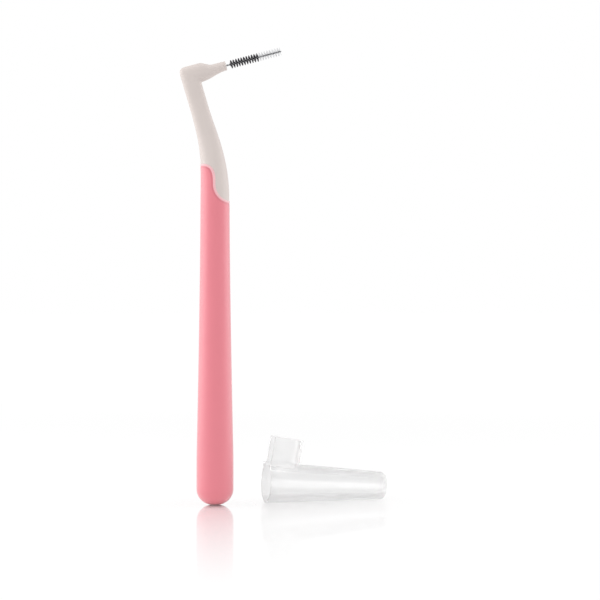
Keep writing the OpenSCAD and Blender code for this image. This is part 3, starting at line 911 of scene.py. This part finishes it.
def filament_brush(form, sizes, start, span, diameter, count, seed):
    """Filaments that each pass through the wire's axis and wind round it with the twist.

    A filament is a square tube along the curve: z + lean t + droop t squared along the axis, and t times the
    reach outwards, with t from -1 to 1. Its angle follows the twist, and small seeded changes keep the ends
    uneven.
    """
    chance = np.random.default_rng(seed)
    place = (np.arange(count) + 0.5) / count
    z = start + span * place + chance.uniform(-PLACE_CHANCE, PLACE_CHANCE, count) * span / count
    turned = 2.0 * math.pi * z / sizes.pitch + chance.normal(0.0, TURN_CHANCE, count)
    half = diameter / 2 - sizes.filament / 2
    reach_up = half * (1.0 - np.abs(chance.normal(0.0, REACH_CHANCE, count)))
    reach_down = half * (1.0 - np.abs(chance.normal(0.0, REACH_CHANCE, count)))
    lean = chance.normal(0.0, LEAN_CHANCE, count)
    droop = chance.normal(0.0, DROOP_CHANCE, count)
    edge = sizes.filament / 2
    low, high = start + edge, start + span - edge
    t = np.linspace(-1.0, 1.0, FILAMENT_RINGS)[None, :]
    out = np.stack([np.cos(turned), np.sin(turned), 0.0 * turned], axis=-1)[:, None]
    across = np.stack([-np.sin(turned), np.cos(turned), 0.0 * turned], axis=-1)[:, None]
    axis = np.array([0.0, 0.0, 1.0])
    distance = np.where(t < 0.0, reach_down[:, None], reach_up[:, None]) * t
    height = np.clip(z[:, None] + lean[:, None] * t + droop[:, None] * t * t, low, high)
    path = distance[..., None] * out + height[..., None] * axis
    corners = np.array([[-1.0, -1.0], [1.0, -1.0], [1.0, 1.0], [-1.0, 1.0]]) * edge
    offset = corners[:, :1] * across[:, :, None] + corners[:, 1:] * axis
    rings = path[:, :, None] + offset
    points = on_wire(form, rings.reshape(-1, 3))
    sides = len(corners)
    last = (FILAMENT_RINGS - 1) * sides
    one = ring_faces(FILAMENT_RINGS, sides) + [[3, 2, 1, 0], [last, last + 1, last + 2, last + 3]]
    first_points = FILAMENT_RINGS * sides * np.arange(count)
    faces = (np.array(one)[None] + first_points[:, None, None]).reshape(-1, sides).tolist()
    return points, faces


def build_black_filaments(scene):
    """The black section."""
    form = BrushForm(scene)
    sizes = scene.interdental_wire
    points, faces = filament_brush(
        form, sizes, sizes.bare, sizes.black_length, sizes.black_diameter, sizes.black_count, BLACK_SEED
    )
    add_solid("black_filaments", points, faces, "bristles_black", black_nylon(sizes))


def build_clear_filaments(scene):
    """The clear section beyond it."""
    form = BrushForm(scene)
    sizes = scene.interdental_wire
    start = sizes.bare + sizes.black_length + sizes.gap
    points, faces = filament_brush(
        form, sizes, start, sizes.clear_length, sizes.clear_diameter, sizes.clear_count, CLEAR_SEED
    )
    add_solid("clear_filaments", points, faces, "bristles_clear", clear_nylon(sizes))


def dress_cap(scene):
    """The cap keeps its solid and gets the clear plastic."""
    cap = frame["nodes"]["cap"]
    cap.data.materials.clear()
    cap.data.materials.append(clear_plastic(scene.interdental_cap))


def white_room(scene, studio):
    """A room that cameras, gloss and clear plastic see as white, and that lights the part more weakly."""
    world = bpy.data.worlds.new("white_room")
    world.use_nodes = True
    scene.world = world
    finish = Finish(world.node_tree)
    seen = seen_directly(finish)
    strength = seen + (1.0 - seen) * studio.ambient
    inputs = {"Color": grey(1.0), "Strength": strength}
    light = finish.node("ShaderNodeBackground", inputs=inputs)
    finish.node("ShaderNodeOutputWorld", inputs={"Surface": light})


def seen_directly(finish):
    """One where a ray comes from the camera, from gloss or through clear plastic, and zero elsewhere."""
    camera = finish.node("ShaderNodeLightPath", output="Is Camera Ray")
    glossy = finish.node("ShaderNodeLightPath", output="Is Glossy Ray")
    passing = finish.node("ShaderNodeLightPath", output="Is Transmission Ray")
    return finish.maths("MAXIMUM", finish.maths("MAXIMUM", camera, glossy), passing)


def pale_floor(studio):
    """A pale glossy floor: it mirrors what stands near the handle, less and less further off, with shadows.

    The mirror's share is a power of the distance left in its reach, and a little more close to the handle.
    Seen through clear plastic the floor is plain white.
    """
    material, finish = new_finish("pale_floor")
    places = finish.places()
    x = finish.axis(places, "X") - HANDLE_X
    y = finish.axis(places, "Y")
    away = (x * x + y * y) ** 0.5 / studio.mirror_reach
    near = finish.maths("MAXIMUM", 1.0 - away, 0.0)
    foot = finish.maths("MAXIMUM", 1.0 - away * (studio.mirror_reach / CONTACT_REACH), 0.0)
    mirror = MIRROR_SHARE * near ** MIRROR_POWER + CONTACT_SHARE * foot
    close = finish.clipped(SHADE_START - SHADE_FALL * away)
    level = SHADE_GREY * close
    tone = finish.node("ShaderNodeCombineXYZ", inputs={0: level, 1: level, 2: level})
    plain = finish.node("ShaderNodeBsdfDiffuse", inputs={"Color": grey(FLOOR_TONE)})
    shaded = finish.node("ShaderNodeBsdfDiffuse", inputs={"Color": tone})
    glow_inputs = {"Color": grey(1.0), "Strength": GLOW - GLOW_SHADED * close}
    glow = finish.node("ShaderNodeEmission", inputs=glow_inputs)
    base = finish.node("ShaderNodeAddShader", inputs={0: shaded, 1: glow})
    gloss = finish.node("ShaderNodeBsdfGlossy", inputs={"Color": grey(1.0), "Roughness": FLOOR_GLOSS})
    seen = finish.node("ShaderNodeMixShader", inputs={0: mirror, 1: base, 2: gloss})
    lit = finish.node("ShaderNodeMixShader", inputs={0: seen_directly(finish), 1: plain, 2: seen})
    white = finish.node("ShaderNodeEmission", inputs={"Color": grey(1.0), "Strength": 1.0})
    passing = finish.node("ShaderNodeLightPath", output="Is Transmission Ray")
    finish.surface(finish.node("ShaderNodeMixShader", inputs={0: passing, 1: lit, 2: white}))
    return material


def add_lamp(scene, name, place, aim, size, power):
    """A soft rectangular lamp that looks at a point."""
    data = bpy.data.lights.new(name, "AREA")
    data.shape = "RECTANGLE"
    data.size, data.size_y = size
    data.energy = power
    lamp = bpy.data.objects.new(name, data)
    scene.collection.objects.link(lamp)
    lamp.location = place
    away = lamp.location - aim
    lamp.rotation_euler = away.to_track_quat("Z", "Y").to_euler()
    lamp.visible_camera = False
    return lamp


def build_stage(scene):
    """The floor, the room, the lamps and the camera."""
    studio = scene.interdental_studio
    scene.view_settings.view_transform = "Standard"
    white_room(scene, studio)
    mesh = bpy.data.meshes.new("floor")
    signs = ((-1, -1), (1, -1), (1, 1), (-1, 1))
    corners = [(x * FLOOR_REACH, y * FLOOR_REACH, -FLOOR_DROP) for x, y in signs]
    mesh.from_pydata(corners, [], [(0, 1, 2, 3)])
    mesh.materials.append(pale_floor(studio))
    floor = bpy.data.objects.new("floor", mesh)
    scene.collection.objects.link(floor)
    target = Vector((HANDLE_X + studio.ahead, 0.0, studio.target_z))
    aside = Vector((math.cos(studio.azimuth), math.sin(studio.azimuth), 0.0))
    back = Vector((math.sin(studio.azimuth), -math.cos(studio.azimuth), 0.0))
    rise = Vector((0.0, 0.0, 1.0))
    for name, offset, size, power in LAMPS:
        place = target + offset[0] * aside + offset[1] * back + offset[2] * rise
        add_lamp(scene, name, place, target, size, getattr(studio, power))
    aim = Vector(STRIP_AIM)
    place = aim + STRIP_DISTANCE * Vector(STRIP_WAY)
    strip = add_lamp(scene, "strip_lamp", place, aim, STRIP_SIZE, studio.strip)
    lit = bpy.data.collections.new("lit_by_strip")
    lit.objects.link(frame["nodes"]["cap"])
    strip.light_linking.receiver_collection = lit
    strip.light_linking.blocker_collection = lit
    data = bpy.data.cameras.new("camera")
    data.lens = studio.focal
    data.sensor_width = 36.0
    data.sensor_fit = "HORIZONTAL"
    data.clip_start = 0.01
    data.clip_end = 20.0
    camera = bpy.data.objects.new("camera", data)
    scene.collection.objects.link(camera)
    camera.location = target + studio.distance * back
    camera.rotation_euler = (math.pi / 2, 0.0, studio.azimuth)
    scene.camera = camera


class INTERDENTAL_OT_grip(bpy.types.Operator):
    """Build the pink handle sleeve"""

    bl_idname = "interdental.grip"
    bl_label = "Handle sleeve"

    def execute(self, context):
        build_grip(context.scene)
        return {"FINISHED"}


class INTERDENTAL_OT_neck(bpy.types.Operator):
    """Build the grey neck and head"""

    bl_idname = "interdental.neck"
    bl_label = "Neck and head"

    def execute(self, context):
        build_neck(context.scene)
        return {"FINISHED"}


class INTERDENTAL_OT_wire(bpy.types.Operator):
    """Build the twisted wire"""

    bl_idname = "interdental.wire"
    bl_label = "Twisted wire"

    def execute(self, context):
        build_wire(context.scene)
        return {"FINISHED"}


class INTERDENTAL_OT_filaments(bpy.types.Operator):
    """Build the black and the clear filaments"""

    bl_idname = "interdental.filaments"
    bl_label = "Filaments"

    def execute(self, context):
        build_black_filaments(context.scene)
        build_clear_filaments(context.scene)
        return {"FINISHED"}


class INTERDENTAL_OT_cap(bpy.types.Operator):
    """Give the travel cap its clear plastic"""

    bl_idname = "interdental.cap"
    bl_label = "Travel cap"

    def execute(self, context):
        dress_cap(context.scene)
        return {"FINISHED"}


class INTERDENTAL_OT_stage(bpy.types.Operator):
    """Set up the floor, the lamps and the camera"""

    bl_idname = "interdental.stage"
    bl_label = "Studio"

    def execute(self, context):
        build_stage(context.scene)
        return {"FINISHED"}


OPERATORS = (
    INTERDENTAL_OT_grip,
    INTERDENTAL_OT_neck,
    INTERDENTAL_OT_wire,
    INTERDENTAL_OT_filaments,
    INTERDENTAL_OT_cap,
    INTERDENTAL_OT_stage,
)
SIZES = {
    "interdental_handle": HandleSizes,
    "interdental_neck": NeckSizes,
    "interdental_wire": WireSizes,
    "interdental_cap": CapLooks,
    "interdental_studio": StudioSizes,
}


class INTERDENTAL_PT_pieces(bpy.types.Panel):
    """The pieces and their sizes"""

    bl_label = "Interdental brush"
    bl_idname = "INTERDENTAL_PT_pieces"
    bl_space_type = "VIEW_3D"
    bl_region_type = "UI"
    bl_category = "Interdental brush"

    def draw(self, context):
        for operator in OPERATORS:
            self.layout.operator(operator.bl_idname)
        for name, group in SIZES.items():
            box = self.layout.box()
            box.label(text=group.__doc__)
            for size in group.__annotations__:
                box.prop(getattr(context.scene, name), size)


def register():
    """Adds the size groups, the operators and the panel."""
    for group in SIZES.values():
        bpy.utils.register_class(group)
    for name, group in SIZES.items():
        setattr(bpy.types.Scene, name, PointerProperty(type=group))
    for operator in OPERATORS:
        bpy.utils.register_class(operator)
    bpy.utils.register_class(INTERDENTAL_PT_pieces)


def unregister():
    """Takes them away again in the opposite order."""
    bpy.utils.unregister_class(INTERDENTAL_PT_pieces)
    for operator in reversed(OPERATORS):
        bpy.utils.unregister_class(operator)
    for name, group in reversed(SIZES.items()):
        delattr(bpy.types.Scene, name)
        bpy.utils.unregister_class(group)


def main():
    """Builds the studio and every piece in order."""
    register()
    bpy.ops.interdental.stage()
    bpy.ops.interdental.grip()
    bpy.ops.interdental.neck()
    bpy.ops.interdental.wire()
    bpy.ops.interdental.filaments()
    bpy.ops.interdental.cap()


if __name__ == "__main__":
    main()
